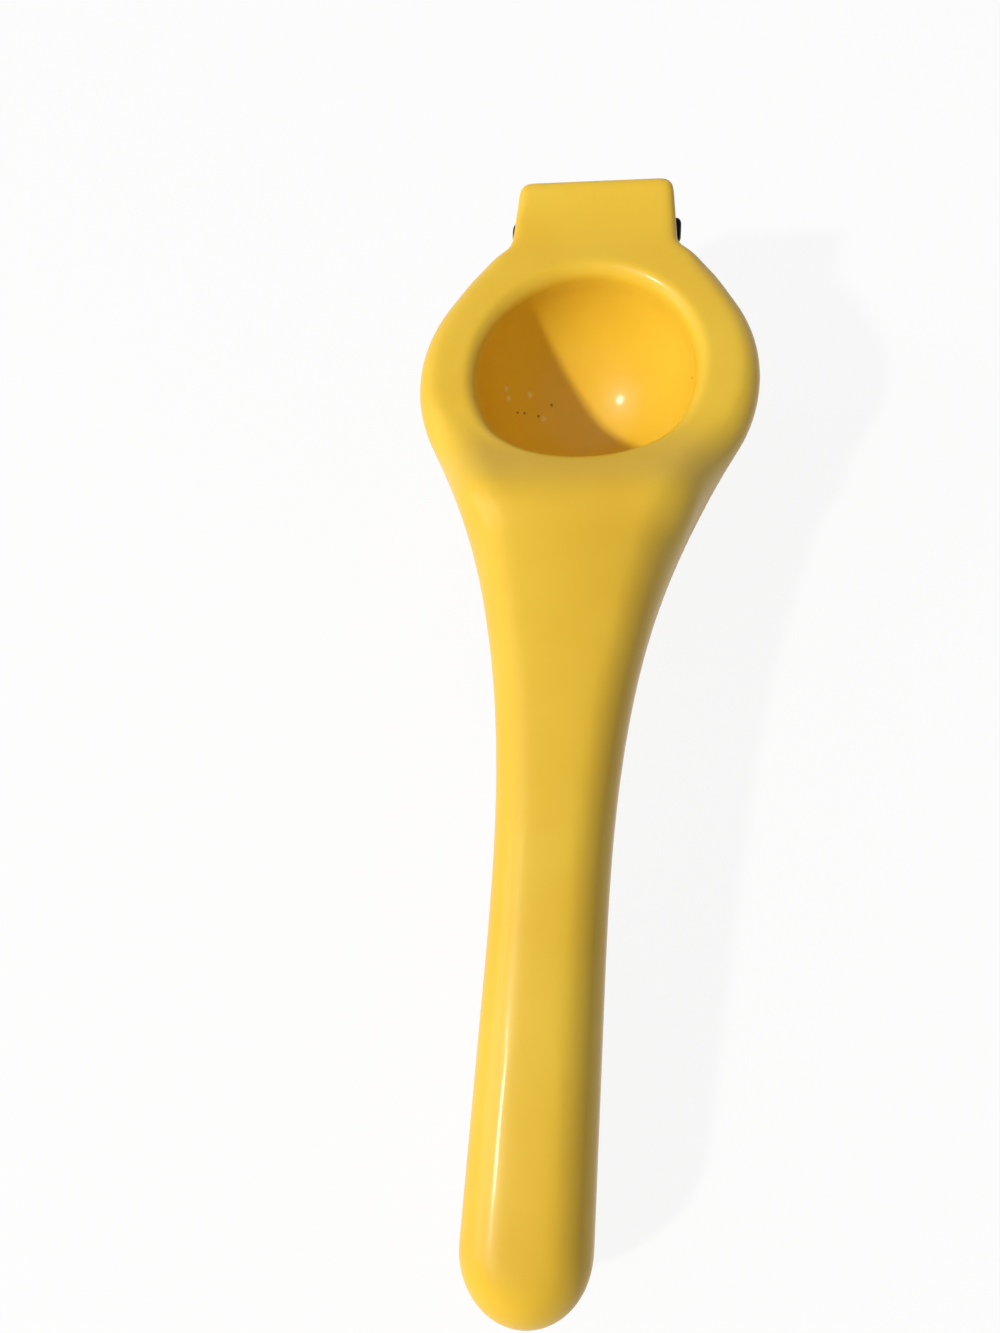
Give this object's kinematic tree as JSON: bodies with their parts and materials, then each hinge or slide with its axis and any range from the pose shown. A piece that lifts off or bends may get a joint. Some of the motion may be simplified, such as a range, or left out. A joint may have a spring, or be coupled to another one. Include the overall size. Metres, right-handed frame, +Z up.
{
  "type": "hinged lemon squeezer",
  "caption": "Hinged hand squeezer: a press cup on the upper arm swings into a pierced strainer bowl on the lower arm, with long rounded handles.",
  "frame": {"origin": "on the table under the centre of the strainer bowl, where the bowl rests", "axes": "+X across the tool along the hinge pin, +Y from the handle end to the hinge, +Z up from the table"},
  "size_m": [0.07, 0.2125, 0.05],
  "materials": {
    "yellow_enamel": "glossy yellow enamel on cast aluminium",
    "pin_steel": "dull dark steel"
  },
  "bodies": {
    "lower": {"lower_arm": "yellow_enamel"},
    "upper": {"upper_arm": "yellow_enamel", "hinge_pin": "pin_steel"}
  },
  "joints": [
    {"name": "arm_hinge", "type": "hinge", "parent": "lower", "child": "upper", "pos_m": [0, 0.03984, 0.03961], "axis": [-1, 0, 0], "range_deg": [0, 150]}
  ]
}
